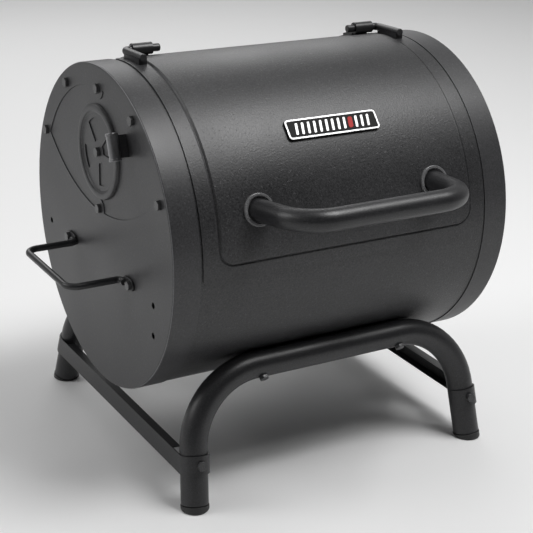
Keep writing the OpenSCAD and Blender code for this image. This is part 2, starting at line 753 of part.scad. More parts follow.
module handle_collar() {
    difference() {
        at_handle_foot(panel_ro - 2) difference() {
            cylinder(r = collar_d / 2, h = collar_h + 2);
            translate([0, 0, -1]) cylinder(r = handle_r + collar_fit, h = collar_h + 10);
        }
        along_x(0, half_l, panel_ro);
    }
}
module right_handle_collar() { color(black) placed() handle_collar(); }
module left_handle_collar() { color(black) placed() mirror([1, 0, 0]) handle_collar(); }
module lid_handle_bolts() {
    color(steel) placed() both() at_handle_foot(washer_r) mirror([0, 0, 1]) bolt(15, bolt_d - 0.04);
}
module lid_handle_washers() {
    color(steel) placed() both() at_handle_foot(washer_r) difference() {
        cylinder(r = 9, h = 1.2);
        translate([0, 0, -1]) cylinder(r = bolt_d / 2 + 0.2, h = 4);
    }
}
module rounded(l, w, r) {
    square([l - 2 * r, w], center = true);
    square([l, w - 2 * r], center = true);
    for (sx = [-1, 1], sy = [-1, 1])
        translate([sx * (l / 2 - r), sy * (w / 2 - r)]) circle(r);
}
module name_plate() {
    color(steel) placed() union() {
        difference() {
            at_angle(badge_a, panel_ro - 1) difference() {
                linear_extrude(badge_t + 1) rounded(badge_l, badge_w, 5);
                translate([0, 0, badge_t]) linear_extrude(5) rounded(badge_l - 5, badge_w - 5, 3);
            }
            along_x(-half_l, half_l, panel_ro);
        }
        both() at_stud(panel_ro - 8) cylinder(r = 1.5, h = 8.5);
    }
}
module name_plate_clips() {
    color(steel) placed() both() at_stud(panel_ro - sheet_t - 1) difference() {
        cylinder(r = 5, h = 0.8);
        translate([0, 0, -1]) cylinder(r = 1.55, h = 4);
    }
}

barrel_shell();
left_end_cap();
right_end_cap();
cover_plate();
cover_plate_bolts();
cover_plate_nuts();
damper_pivot_bolt();
damper_pivot_nut();
damper_disc();
damper_grip();
left_carry_handle();
right_carry_handle();
carry_handle_bolts();
carry_handle_nuts();
left_grate_rest();
right_grate_rest();
cooking_grate();
charcoal_grate();
front_leg_frame();
rear_leg_frame();
foot_front_left();
foot_front_right();
foot_rear_left();
foot_rear_right();
leg_bolts();
leg_nuts();
left_stretcher();
right_stretcher();
stretcher_bolts();
stretcher_nuts();
left_hinge_bracket();
right_hinge_bracket();
hinge_bracket_bolts();
hinge_bracket_nuts();
left_hinge_arm();
right_hinge_arm();
left_hinge_saddle();
right_hinge_saddle();
hinge_screws();
lid_shell();
lid_handle();
lid_handle_plugs();
left_handle_collar();
right_handle_collar();
lid_handle_bolts();
lid_handle_washers();
name_plate();
name_plate_clips();
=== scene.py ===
import math
import bmesh
import bpy
from mathutils import Matrix, Vector


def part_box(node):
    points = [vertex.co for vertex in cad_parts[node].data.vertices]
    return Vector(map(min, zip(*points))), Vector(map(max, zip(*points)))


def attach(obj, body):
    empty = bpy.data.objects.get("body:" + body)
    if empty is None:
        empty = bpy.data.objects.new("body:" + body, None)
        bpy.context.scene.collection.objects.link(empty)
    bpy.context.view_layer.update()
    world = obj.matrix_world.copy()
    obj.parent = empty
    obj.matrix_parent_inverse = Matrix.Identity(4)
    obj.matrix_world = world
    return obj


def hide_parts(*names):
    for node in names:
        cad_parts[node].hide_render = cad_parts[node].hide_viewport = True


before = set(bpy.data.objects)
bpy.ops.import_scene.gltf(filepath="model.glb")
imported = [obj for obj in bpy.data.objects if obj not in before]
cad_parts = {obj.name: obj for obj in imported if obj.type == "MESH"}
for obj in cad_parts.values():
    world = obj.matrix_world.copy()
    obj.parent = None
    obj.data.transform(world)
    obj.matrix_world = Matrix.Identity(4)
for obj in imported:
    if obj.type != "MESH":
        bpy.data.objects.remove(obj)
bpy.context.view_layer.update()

# Drum: a tube rolled from 1 mm steel sheet, open at the top front under the lid.
# Outside it wears a satin black high-temperature paint, sprayed on so that it keeps a
# fine dry grain. Every angle round the drum is counted up from the front.
shell_lo, shell_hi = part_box("barrel_shell")
AXIS = (shell_lo + shell_hi) / 2
shell_r = (shell_hi.z - shell_lo.z) / 2
sheet = 0.001


class Wire:
    """One output in a material's node tree, with arithmetic."""

    def __init__(self, tree, socket=None):
        self.tree = tree
        self.socket = socket

    def node(self, kind, settings=None, sockets=None, out=0):
        """Adds a shader node, with its settings first, and returns one of its outputs."""
        made = self.tree.nodes.new("ShaderNode" + kind)
        for name, value in (settings or {}).items():
            setattr(made, name, value)
        for name, value in (sockets or {}).items():
            if isinstance(value, Wire):
                self.tree.links.new(value.socket, made.inputs[name])
            else:
                made.inputs[name].default_value = value
        return Wire(self.tree, made.outputs[out])

    def math(self, operation, a, b):
        return self.node("Math", {"operation": operation}, {0: a, 1: b})

    def __add__(self, other):
        return self.math("ADD", self, other)

    __radd__ = __add__

    def __mul__(self, other):
        return self.math("MULTIPLY", self, other)

    __rmul__ = __mul__

    def __sub__(self, other):
        return self.math("SUBTRACT", self, other)

    def __rsub__(self, other):
        return self.math("SUBTRACT", other, self)


def coat(name, dark, light, rough, grain=520.0, bump=0.3, depth=0.0005, metallic=0.0, fleck=0.6, spec=0.5,
         highlight_edge=None):
    """Sprayed or moulded finish: two tones in a fine grain, a few pale flecks, soft smudges.

    The last argument is the radius round the drum and the half length past which an edge gets a painted
    highlight, a lighter grey band.
    """
    # Width and colour of the painted highlight, a lighter grey band laid along an edge.
    highlight_band = 0.0006
    highlight_grey = (0.22, 0.22, 0.23, 1)
    material = bpy.data.materials.new(name)
    material.use_nodes = True
    tree = material.node_tree
    shader = tree.nodes["Principled BSDF"]
    start = Wire(tree)
    place = start.node("TexCoord", out=3)
    fine = start.node("TexNoise", {}, {"Vector": place, "Scale": grain, "Detail": 3.0, "Roughness": 0.65})
    smudge = start.node("TexNoise", {}, {"Vector": place, "Scale": 9.0, "Detail": 2.0})
    specks = start.node("TexNoise", {}, {"Vector": place, "Scale": grain * 0.7, "Detail": 1.0})
    speck = start.node("MapRange", {}, {"Value": specks, "From Min": 0.66, "From Max": 0.74})
    tone = start.node("MapRange", {}, {"Value": fine, "From Min": 0.3, "From Max": 0.7})
    share = tone * 0.75 + smudge * 0.25 + speck * fleck
    share = start.math("MINIMUM", share, 1.0)
    body = start.node("Mix", {"data_type": "RGBA"}, {
        "Factor": share, "A": (*dark, 1), "B": (*light, 1)}, out=2)
    even = rough + (smudge - 0.5) * 0.16 + (fine - 0.5) * 0.1
    # Painted highlight: past the given radius and half length the colour turns lighter grey, a band that
    # stands in for light caught by the edge.
    if highlight_edge:
        out = start.node("VectorMath", {"operation": "SUBTRACT"}, {0: place, 1: tuple(AXIS)})
        round_it = start.node("VectorMath", {"operation": "MULTIPLY"}, {0: out, 1: (0, 1, 1)})
        along = start.node("VectorMath", {"operation": "MULTIPLY"}, {0: out, 1: (1, 0, 0)})
        across = start.node("VectorMath", {"operation": "LENGTH"}, {0: round_it}, out=1)
        reach = start.node("VectorMath", {"operation": "LENGTH"}, {0: along}, out=1)
        painted_highlight = start.node("MapRange", {}, {
            "Value": across, "From Min": highlight_edge[0], "From Max": highlight_edge[0] + highlight_band})
        painted_highlight = painted_highlight * start.node("MapRange", {}, {
            "Value": reach, "From Min": highlight_edge[1], "From Max": highlight_edge[1] + highlight_band})
        painted_highlight = painted_highlight * (0.4 + fine)
        body = start.node("Mix", {"data_type": "RGBA"}, {
            "Factor": painted_highlight, "A": body, "B": highlight_grey}, out=2)
        even = even - painted_highlight * 0.12
    raised = start.node("Bump", {}, {"Strength": bump, "Distance": depth, "Height": fine + speck * 0.4})
    tree.links.new(body.socket, shader.inputs["Base Color"])
    tree.links.new(even.socket, shader.inputs["Roughness"])
    tree.links.new(raised.socket, shader.inputs["Normal"])
    shader.inputs["Metallic"].default_value = metallic
    shader.inputs["Specular IOR Level"].default_value = spec
    return material


def make(name, bm, finish, slot, body, *nodes, crease=50):
    """Turns a finished bmesh into a piece that rides on a body."""
    for face in bm.faces:
        face.smooth = True
    for edge in bm.edges:
        edge.smooth = edge.is_manifold and edge.calc_face_angle(0) < math.radians(crease)
    mesh = bpy.data.meshes.new(name)
    bm.to_mesh(mesh)
    bm.free()
    mesh.materials.append(finish)
    piece = bpy.data.objects.new(name, mesh)
    bpy.context.collection.objects.link(piece)
    even = piece.modifiers.new("Even shading", "WEIGHTED_NORMAL")
    even.keep_sharp = True
    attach(piece, body)
    if nodes:
        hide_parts(*nodes)
    return piece


def pressed(name, node, finish, slot, body, edge=0.0003, steps=2):
    """A merged copy of a CAD node with its sharp edges broken."""
    bm = bmesh.new()
    bm.from_mesh(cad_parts[node].data)
    bmesh.ops.remove_doubles(bm, verts=bm.verts, dist=2e-6)
    bmesh.ops.dissolve_limit(bm, angle_limit=math.radians(0.5), verts=bm.verts, edges=bm.edges)
    if edge:
        sharp = [e for e in bm.edges if e.is_manifold and e.calc_face_angle(0) > math.radians(35)]
        bmesh.ops.bevel(
            bm, geom=sharp, offset=edge, segments=steps, profile=0.5, affect="EDGES",
            clamp_overlap=True, material=-1)
    return make(name, bm, finish, slot, body, node)


drum_paint = coat("drum_paint", (0.003, 0.003, 0.004), (0.050, 0.050, 0.052), 0.40, bump=0.45)
pressed("Drum", "barrel_shell", drum_paint, "drum_paint", "base", 0.0)

# End caps: two steel lids pressed over the ends of the drum, with a rolled corner.
# The left one has a pointed cut-out, and the cover plate with the air damper is bolted
# behind it.
cap_r, cap_half = 0.19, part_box("right_end_cap")[1].x
# The caps' rolled corner gets a painted highlight: a lighter grey band along the rim.
cap_paint = coat(
    "cap_paint", (0.018, 0.018, 0.019), (0.054, 0.054, 0.057), 0.43, bump=0.15,
    highlight_edge=(cap_r - 0.0011, cap_half - 0.0012))
pressed("Left_end_cap", "left_end_cap", cap_paint, "cap_paint", "base", 0.00035)
pressed("Right_end_cap", "right_end_cap", cap_paint, "cap_paint", "base", 0.0)
pressed("Cover_plate", "cover_plate", cap_paint, "cap_paint", "base", 0.0002)

# Hexagon bolts and nuts of blackened steel, painted with the drum: their broken edges
# shine a little more than their faces.
bolt_black = coat("bolt_black", (0.010, 0.010, 0.011), (0.085, 0.085, 0.088), 0.30, 900.0, 0.12)
for held in ("cover_plate", "carry_handle", "leg", "stretcher", "hinge_bracket"):
    for kind in ("bolts", "nuts"):
        pressed(f"{held.capitalize()}_{kind}", f"{held}_{kind}", bolt_black, "fastener", "base", 0.0006)
pressed("Damper_bolt", "damper_pivot_bolt", bolt_black, "fastener", "base", 0.0006)
pressed("Damper_nut", "damper_pivot_nut", bolt_black, "fastener", "base", 0.0006)

# Air damper: a steel disc with four windows and a pressed bead round its edge. It turns
# on its bolt, by a tab bent out of the disc.
pressed("Damper_disc", "damper_disc", cap_paint, "cap_paint", "damper", 0.0)
disc_r, disc_back, pivot_rise = 0.055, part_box("damper_disc")[1].x, 0.0905
bead_steps = 96
bead_profile = (
    (0.0004, 0.0), (0.0020, 0.0002), (0.0035, 0.0012), (0.0040, 0.0030),
    (0.0040, 0.0062), (0.0034, 0.0078), (0.0018, 0.0086), (0.0006, 0.0088))
bm = bmesh.new()
bead = [bm.verts.new((-height, disc_r - inward, 0)) for height, inward in bead_profile]
line = [bm.edges.new(pair) for pair in zip(bead, bead[1:] + bead[:1])]
bmesh.ops.spin(
    bm, geom=bead + line, cent=(0, 0, 0), axis=(1, 0, 0), angle=math.tau, steps=bead_steps,
    use_merge=True)
bmesh.ops.translate(bm, verts=bm.verts, vec=(disc_back, AXIS.y, AXIS.z + pivot_rise))
bmesh.ops.recalc_face_normals(bm, faces=bm.faces)
make("Damper_bead", bm, cap_paint, "cap_paint", "damper", crease=38)

# Damper grip: a rolled sleeve of dark bright steel pushed over the tab, with a lip at
# each end.
gunmetal = coat(
    "gunmetal", (0.24, 0.24, 0.245), (0.28, 0.28, 0.29), 0.33, 500.0, 0.02, 0.0001,
    metallic=0.85, fleck=0.0)
grip_lo, grip_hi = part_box("damper_grip")
grip_l, grip_r, grip_tilt = 0.031, 0.007, 20.5
sleeve_wall, sleeve_sink, lip_l, lip_high = 0.0014, 0.0014, 0.0022, 0.0006
grip_at = (grip_lo + grip_hi) / 2
bm = bmesh.new()
bmesh.ops.create_cone(
    bm, cap_ends=True, segments=40, radius1=grip_r - lip_high, radius2=grip_r - lip_high,
    depth=grip_l)
ends = [f for f in bm.faces if len(f.verts) > 4]
bmesh.ops.inset_region(bm, faces=ends, thickness=sleeve_wall, depth=0.0)
bmesh.ops.inset_region(bm, faces=ends, thickness=0.0004, depth=-sleeve_sink)
for side in (-1, 1):
    lip = bmesh.ops.create_cone(
        bm, cap_ends=True, segments=40, radius1=grip_r, radius2=grip_r, depth=lip_l)["verts"]
    bmesh.ops.translate(bm, verts=lip, vec=(0, 0, side * (grip_l / 2 - 0.0016)))
rims = [e for e in bm.edges if e.calc_face_angle(0) > math.radians(60)]
bmesh.ops.bevel(bm, geom=rims, offset=0.0004, segments=2, profile=0.5, affect="EDGES", material=-1)
bmesh.ops.transform(
    bm, verts=bm.verts,
    matrix=Matrix.Translation(grip_at) @ Matrix.Rotation(math.radians(-grip_tilt), 4, "X"))
make("Damper_grip", bm, gunmetal, "gunmetal", "damper", "damper_grip")


# Carry handles: 8 mm steel rod bent to a U, its ends turned out and flattened into
# feet that are bolted to the caps.
def bent(bm, start, heading, radius, moves, around=32, tip=0.0):
    """Rod run out from start: a move is a straight length or (bend radius, degrees, axis)."""
    at, way = Vector(start), Vector(heading).normalized()
    ring = bmesh.ops.create_circle(bm, cap_ends=False, segments=around, radius=radius)["verts"]
    turn = Vector((0, 0, 1)).rotation_difference(way).to_matrix().to_4x4()
    bmesh.ops.transform(bm, verts=ring, matrix=Matrix.Translation(at) @ turn)
    edges = list({e for v in ring for e in v.link_edges})
    rims = [edges]
    for move in moves:
        if isinstance(move, tuple):
            bend, degrees, axis = move[0], math.radians(move[1]), Vector(move[2]).normalized()
            centre = at + axis.cross(way) * bend
            grown = bmesh.ops.spin(
                bm, geom=edges, cent=centre, axis=axis, angle=degrees,
                steps=max(4, round(move[1] / 5)), use_merge=False, use_duplicate=False)["geom_last"]
            edges = [g for g in grown if isinstance(g, bmesh.types.BMEdge)]
            spun = Matrix.Rotation(degrees, 3, axis)
            at, way = centre + spun @ (at - centre), spun @ way
        else:
            grown = bmesh.ops.extrude_edge_only(bm, edges=edges)["geom"]
            ring = [g for g in grown if isinstance(g, bmesh.types.BMVert)]
            edges = [g for g in grown if isinstance(g, bmesh.types.BMEdge) and g.is_boundary]
            bmesh.ops.translate(bm, verts=ring, vec=way * move)
            at = at + way * move
    rims.append(edges)
    for rim in rims:
        bmesh.ops.edgeloop_fill(bm, edges=rim)
    if tip:
        bmesh.ops.bevel(
            bm, geom=rims[0] + rims[1], offset=tip, segments=3, profile=0.5, affect="EDGES",
            clamp_overlap=True, material=-1)
    bmesh.ops.recalc_face_normals(bm, faces=bm.faces)
    return at


rod_paint = coat("rod_paint", (0.010, 0.010, 0.011), (0.030, 0.030, 0.032), 0.36, 1300.0, 0.12)
carry_lo, carry_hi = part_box("left_carry_handle")
carry_r, foot_r, foot_t, foot_flat = 0.004, 0.007, 0.003, 0.012
carry_z = (carry_lo.z + carry_hi.z) / 2
carry_foot_half = (carry_hi.y - carry_lo.y) / 2
carry_bolt_y = carry_foot_half - foot_r
carry_leg_y = carry_bolt_y - 0.022
carry_bend, carry_turn = 0.014, 0.006
cap_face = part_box("left_end_cap")[0].x
carry_reach = cap_face - carry_lo.x
carry_toe = carry_bolt_y - foot_flat - carry_leg_y - carry_turn
carry_arm = carry_reach - carry_r * 2 - carry_turn - carry_bend
for side, node in ((-1, "left_carry_handle"), (1, "right_carry_handle")):
    bm = bmesh.new()
    bent(bm, (cap_face - carry_r, AXIS.y - carry_bolt_y + foot_flat, carry_z), (0, 1, 0), carry_r, [
        carry_toe, (carry_turn, 90, (0, 0, 1)), carry_arm, (carry_bend, 90, (0, 0, -1)),
        2 * (carry_leg_y - carry_bend), (carry_bend, 90, (0, 0, -1)), carry_arm,
        (carry_turn, 90, (0, 0, 1)), carry_toe])
    for end in (-1, 1):
        foot = bmesh.ops.create_cone(
            bm, cap_ends=True, segments=32, radius1=foot_r, radius2=foot_r, depth=foot_t)["verts"]
        bmesh.ops.rotate(
            bm, verts=foot, cent=(0, 0, 0), matrix=Matrix.Rotation(math.radians(90), 3, "Y"))
        inner = [v for v in foot if v.co.y * end < 0]
        bmesh.ops.translate(bm, verts=inner, vec=(0, -end * foot_flat, 0))
        bmesh.ops.translate(
            bm, verts=foot, vec=(cap_face - foot_t / 2, AXIS.y + end * carry_bolt_y, carry_z))
        rims = [e for v in foot for e in v.link_edges if e.calc_face_angle(0) > math.radians(60)]
        bmesh.ops.bevel(
            bm, geom=list(set(rims)), offset=0.0008, segments=2, profile=0.5, affect="EDGES", material=-1)
    if side > 0:
        bmesh.ops.scale(bm, verts=bm.verts, vec=(-1, 1, 1))
        bmesh.ops.recalc_face_normals(bm, faces=bm.faces)
    make(node.capitalize(), bm, rod_paint, "rod_paint", "base", node)

# Stand: two frames of bent steel tube, each with its straight top bolted across the
# drum below its front or rear, and a moulded plug in the foot of each leg.
tube_paint = coat("tube_paint", (0.006, 0.006, 0.007), (0.032, 0.032, 0.034), 0.38, 620.0, 0.22)
tube_r, leg_bend, leg_half, leg_splay = 0.0159, 0.0875, 0.099, 4.7
leg_seat = math.radians(41.3)
frame_top = AXIS - Vector((0, math.cos(leg_seat), math.sin(leg_seat))) * (shell_r + tube_r)
foot_lo, foot_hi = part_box("foot_front_right")
foot_at = Vector(((foot_lo.x + foot_hi.x) / 2, (foot_lo.y + foot_hi.y) / 2, 0))
leg_tilt = math.atan2(frame_top.y - foot_at.y, frame_top.z)
leg_drop = frame_top.z / math.cos(leg_tilt)
splay = math.radians(leg_splay)
leg_l = (leg_drop - leg_bend + leg_bend * math.sin(splay)) / math.cos(splay)
foot_x = leg_half + leg_bend * math.cos(splay) + leg_l * math.sin(splay)
foot_gap = 0.006
for front, node in ((1, "front_leg_frame"), (-1, "rear_leg_frame")):
    bm = bmesh.new()
    up = Vector((math.sin(splay), 0, math.cos(splay)))
    bent(bm, Vector((-foot_x, 0, -leg_drop)) + up * foot_gap, up, tube_r, [
        leg_l - foot_gap, (leg_bend, 90 - leg_splay, (0, 1, 0)), 2 * leg_half,
        (leg_bend, 90 - leg_splay, (0, 1, 0)), leg_l - foot_gap], around=48)
    bmesh.ops.transform(
        bm, verts=bm.verts, matrix=Matrix.Translation(frame_top) @ Matrix.Rotation(-leg_tilt, 4, "X"))
    if front < 0:
        bmesh.ops.translate(bm, verts=bm.verts, vec=-AXIS)
        bmesh.ops.scale(bm, verts=bm.verts, vec=(1, -1, 1))
        bmesh.ops.translate(bm, verts=bm.verts, vec=AXIS)
        bmesh.ops.recalc_face_normals(bm, faces=bm.faces)
    make(node.capitalize(), bm, tube_paint, "tube_paint", "base", node)

# Foot plugs: moulded black plastic, pushed into the legs, with a rim as wide as the
# tube and a rounded sole that lies flat on the table.
foot_plastic = coat("foot_plastic", (0.010, 0.010, 0.010), (0.028, 0.028, 0.028), 0.48, 700.0, 0.1)
plug_r, plug_l, sole_round = tube_r + 0.0006, 0.017, 0.0022
for end, way in (("left", -1), ("right", 1)):
    for row, front in (("front", 1), ("rear", -1)):
        bm = bmesh.new()
        bmesh.ops.create_cone(
            bm, cap_ends=True, segments=48, radius1=plug_r, radius2=plug_r, depth=plug_l)
        bmesh.ops.transform(
            bm, verts=bm.verts,
            matrix=Matrix.Rotation(-leg_tilt, 4, "X") @ Matrix.Rotation(-splay, 4, "Y")
            @ Matrix.Translation((0, 0, -0.0035)))
        bmesh.ops.translate(bm, verts=bm.verts, vec=(foot_x, foot_at.y, 0))
        bmesh.ops.bisect_plane(
            bm, geom=bm.verts[:] + bm.edges[:] + bm.faces[:], plane_co=(0, 0, 0), plane_no=(0, 0, 1),
            clear_inner=True)
        sole = [e for e in bm.edges if e.is_boundary]
        bmesh.ops.edgeloop_fill(bm, edges=sole)
        bmesh.ops.bevel(
            bm, geom=sole, offset=sole_round, segments=4, profile=0.5, affect="EDGES", material=-1)
        top = [e for e in bm.edges if e.calc_face_angle(0) > math.radians(60)]
        bmesh.ops.bevel(
            bm, geom=top, offset=0.0005, segments=2, profile=0.5, affect="EDGES", material=-1)
        bmesh.ops.translate(bm, verts=bm.verts, vec=-AXIS)
        bmesh.ops.scale(bm, verts=bm.verts, vec=(way, front, 1))
        bmesh.ops.translate(bm, verts=bm.verts, vec=AXIS)
        bmesh.ops.recalc_face_normals(bm, faces=bm.faces)
        node = f"foot_{row}_{end}"
        make(node.capitalize(), bm, foot_plastic, "foot_plastic", "base", node)

# Stretchers: steel channels from the front leg to the rear one, their ends wrapped a
# quarter round the tubes and bolted through.
pressed("Left_stretcher", "left_stretcher", tube_paint, "rail_paint", "base", 0.0003)
pressed("Right_stretcher", "right_stretcher", tube_paint, "rail_paint", "base", 0.0003)

# Lid: a curved steel sheet that laps over the edges of the opening, stiffened by one
# large shallow panel pressed outwards with soft shoulders. It is made flat, then rolled.
lid_paint = coat("lid_paint", (0.003, 0.003, 0.004), (0.050, 0.050, 0.052), 0.40, bump=0.45)
lid_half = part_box("lid_shell")[1].x
lid_r, lid_from, lid_to, lid_round = 0.1904, -2.5, 100.3, 0.006
panel_x, panel_from, panel_to, panel_round = 0.1675, 2.0, 96.0, 0.020
panel_r = lid_r + 0.0015
shoulder = ((0.0005, -0.0001), (0.0008, -0.0007), (0.0010, 0.0), (0.0006, 0.0008), (0.0008, 0.0011),
            (0.0006, 0.0004))
lid_cuts = 120


def outline(bm, x_half, y_low, y_high, corner):
    """A rounded rectangle laid flat, facing up."""
    corners = [bm.verts.new((x, y, 0)) for x, y in (
        (-x_half, y_low), (x_half, y_low), (x_half, y_high), (-x_half, y_high))]
    before = set(bm.faces)
    bm.faces.new(corners)
    bmesh.ops.bevel(
        bm, geom=corners, offset=corner, segments=8, profile=0.5, affect="VERTICES", material=-1)
    return next(f for f in bm.faces if f not in before)


def round_way(angle):
    """How far round the lid an angle reaches, before the lid is rolled."""
    return lid_r * math.radians(angle)


bm = bmesh.new()
whole = outline(bm, lid_half, round_way(lid_from), round_way(lid_to), lid_round)
rim = list(whole.edges)
bmesh.ops.delete(bm, geom=[whole], context="FACES_ONLY")
panel = outline(bm, panel_x, round_way(panel_from), round_way(panel_to), panel_round)
bmesh.ops.bridge_loops(bm, edges=rim + list(panel.edges))
for wide, high in shoulder:
    bmesh.ops.inset_region(bm, faces=[panel], thickness=wide, depth=high)
for cut in range(1, lid_cuts):
    bmesh.ops.bisect_plane(
        bm, geom=bm.verts[:] + bm.edges[:] + bm.faces[:], plane_no=(0, 1, 0),
        plane_co=(0, round_way(lid_from + (lid_to - lid_from) * cut / lid_cuts), 0))
for v in bm.verts:
    angle, r = v.co.y / lid_r, lid_r + v.co.z
    v.co = (v.co.x, AXIS.y - r * math.cos(angle), AXIS.z + r * math.sin(angle))
bmesh.ops.recalc_face_normals(bm, faces=bm.faces)
if sum(f.normal.dot(f.calc_center_median() - AXIS) for f in bm.faces) < 0:
    bmesh.ops.reverse_faces(bm, faces=bm.faces)
bmesh.ops.solidify(bm, geom=bm.faces[:], thickness=sheet)
make("Lid", bm, lid_paint, "lid_paint", "lid", "lid_shell")

# Lid handle: one piece of steel tube bent to a wide U, its two feet standing on the lid
# inside pressed collars and pulled tight by bolts from within.
handle_r, handle_bend, handle_feet, handle_angle = 0.0127, 0.042, 0.231, 19.25
handle_out, handle_splay, handle_rise = 0.0817, math.radians(7.6), math.radians(6.1)
foot_way = Vector((0, -math.cos(math.radians(handle_angle)), math.sin(math.radians(handle_angle))))
grip_at = AXIS + foot_way * lid_r + Vector((0, -math.cos(handle_rise), math.sin(handle_rise))) * handle_out
handle_spare = 0.004
handle_drop = handle_out - handle_bend + handle_bend * math.sin(handle_splay)
handle_leg = (handle_drop + handle_spare) / math.cos(handle_splay)
handle_half = (handle_feet / 2 - handle_bend * math.cos(handle_splay)
               - handle_drop * math.tan(handle_splay))
handle_x = handle_half + handle_bend * math.cos(handle_splay) + handle_leg * math.sin(handle_splay)
bm = bmesh.new()
up = Vector((math.sin(handle_splay), 0, math.cos(handle_splay)))
bent(bm, (-handle_x, 0, -handle_out - handle_spare), up, handle_r, [
    handle_leg, (handle_bend, 90 - math.degrees(handle_splay), (0, 1, 0)), 2 * handle_half,
    (handle_bend, 90 - math.degrees(handle_splay), (0, 1, 0)), handle_leg], around=48)
bmesh.ops.transform(
    bm, verts=bm.verts,
    matrix=Matrix.Translation(grip_at) @ Matrix.Rotation(math.pi / 2 - handle_rise, 4, "X"))
bmesh.ops.bisect_plane(
    bm, geom=bm.verts[:] + bm.edges[:] + bm.faces[:], plane_co=AXIS + foot_way * (panel_r - 0.0003),
    plane_no=foot_way, clear_inner=True)
bmesh.ops.holes_fill(bm, edges=[e for e in bm.edges if e.is_boundary])
make("Lid_handle", bm, tube_paint, "tube_paint", "lid", "lid_handle")

# Handle collars: pressed rings round the handle's feet, coloured a lighter, glossier grey than the lid as
# a painted highlight ring.
collar_painted_highlight = coat("collar_painted_highlight", (0.05, 0.05, 0.052), (0.24, 0.24, 0.245), 0.24, 1200.0, 0.05, fleck=0.2)
collar_ro, collar_ri, collar_h, collar_sink = 0.01825, 0.0147, 0.003, 0.0008
for side, node in ((-1, "left_handle_collar"), (1, "right_handle_collar")):
    bm = bmesh.new()
    bmesh.ops.create_circle(bm, cap_ends=True, segments=64, radius=collar_ro)
    grown = bmesh.ops.extrude_face_region(bm, geom=bm.faces[:])["geom"]
    top = [g for g in grown if isinstance(g, bmesh.types.BMFace)]
    bmesh.ops.translate(
        bm, verts=list({v for f in top for v in f.verts}), vec=(0, 0, collar_h + collar_sink))
    bmesh.ops.inset_region(bm, faces=top, thickness=collar_ro - collar_ri, depth=0)
    bmesh.ops.inset_region(bm, faces=top, thickness=0.00001, depth=-collar_h)
    rims = [e for e in bm.edges if e.calc_face_angle(0) > math.radians(60)]
    bmesh.ops.bevel(bm, geom=rims, offset=0.0009, segments=3, profile=0.5, affect="EDGES",
                    clamp_overlap=True, material=-1)
    turn = Vector((0, 0, 1)).rotation_difference(foot_way).to_matrix().to_4x4()
    collar_at = AXIS + foot_way * (panel_r - collar_sink) + Vector((side * handle_feet / 2, 0, 0))
    bmesh.ops.transform(bm, verts=bm.verts, matrix=Matrix.Translation(collar_at) @ turn)
    bmesh.ops.recalc_face_normals(bm, faces=bm.faces)
    make(node.capitalize(), bm, collar_painted_highlight, "lid_paint", "lid", node)

for node in ("lid_handle_plugs", "lid_handle_bolts", "lid_handle_washers", "name_plate_clips"):
    pressed(node.capitalize(), node, bolt_black, "fastener", "lid", 0.0003)

# Name plate: a plain badge of cast metal with a bright rim, a sunk black field, a row of
# bright slats and one small red lozenge. Two studs through the lid hold it.
plate_bright = coat(
    "plate_bright", (0.55, 0.55, 0.55), (0.74, 0.74, 0.74), 0.34, 700.0, 0.05, metallic=0.3)
plate_black = coat(
    "plate_black", (0.002, 0.002, 0.002), (0.006, 0.006, 0.006), 0.6, 1200.0, 0.1,
    fleck=0.1, spec=0.2)
plate_red = coat(
    "plate_red", (0.38, 0.008, 0.005), (0.50, 0.016, 0.01), 0.45, 1200.0, 0.05,
    fleck=0.1, spec=0.2)
plate_l, plate_w, plate_round, plate_h, plate_angle = 0.120, 0.025, 0.005, 0.003, math.radians(43.5)
plate_way = Vector((0, -math.cos(plate_angle), math.sin(plate_angle)))
plate_place = (Matrix.Translation(AXIS + plate_way * panel_r)
               @ Matrix.Rotation(math.pi / 2 - plate_angle, 4, "X"))


def raised_bar(bm, x_half, y_half, corner, low, high, edge, at=(0, 0), lean=0.0):
    """A rounded bar standing from one height to another on the name plate."""
    before = set(bm.verts)
    face = outline(bm, x_half, -y_half, y_half, corner)
    grown = bmesh.ops.extrude_face_region(bm, geom=[face])["geom"]
    top = [g for g in grown if isinstance(g, bmesh.types.BMFace)]
    bmesh.ops.translate(bm, verts=list({v for f in top for v in f.verts}), vec=(0, 0, high - low))
    rims = [e for f in top for e in f.edges]
    if edge:
        bmesh.ops.bevel(bm, geom=rims, offset=edge, segments=2, profile=0.5, affect="EDGES", material=-1)
    fresh = [v for v in bm.verts if v not in before]
    for v in fresh:
        v.co.x += v.co.y * lean
    bmesh.ops.translate(bm, verts=fresh, vec=(*at, low))
    return top


bm = bmesh.new()
raised_bar(bm, plate_l / 2, plate_w / 2, plate_round, -0.0006, plate_h - 0.0004, 0.0003)
bmesh.ops.transform(bm, verts=bm.verts, matrix=plate_place)
bmesh.ops.recalc_face_normals(bm, faces=bm.faces)
make("Name_plate", bm, plate_black, "plate_metal", "lid", "name_plate")

bm = bmesh.new()
rim_in, rim_w, rim_t = 0.0006, 0.0019, 0.0008
outer = outline(
    bm, plate_l / 2 - rim_in, -plate_w / 2 + rim_in, plate_w / 2 - rim_in, plate_round - rim_in)
bmesh.ops.inset_region(bm, faces=[outer], thickness=rim_w, depth=0, use_boundary=True)
bmesh.ops.delete(bm, geom=[outer], context="FACES")
grown = bmesh.ops.extrude_face_region(bm, geom=bm.faces[:])["geom"]
top = [g for g in grown if isinstance(g, bmesh.types.BMFace)]
bmesh.ops.translate(bm, verts=list({v for f in top for v in f.verts}), vec=(0, 0, rim_t))
bmesh.ops.translate(bm, verts=bm.verts, vec=(0, 0, plate_h - rim_t))
slat_pitch, slat_count, slat_lean = 0.0078, 13, 0.18
slat_low, slat_high = plate_h - rim_t, plate_h - 0.0001
red_slat = slat_count - 4
slat_x = [(slat - (slat_count - 1) / 2) * slat_pitch for slat in range(slat_count)]
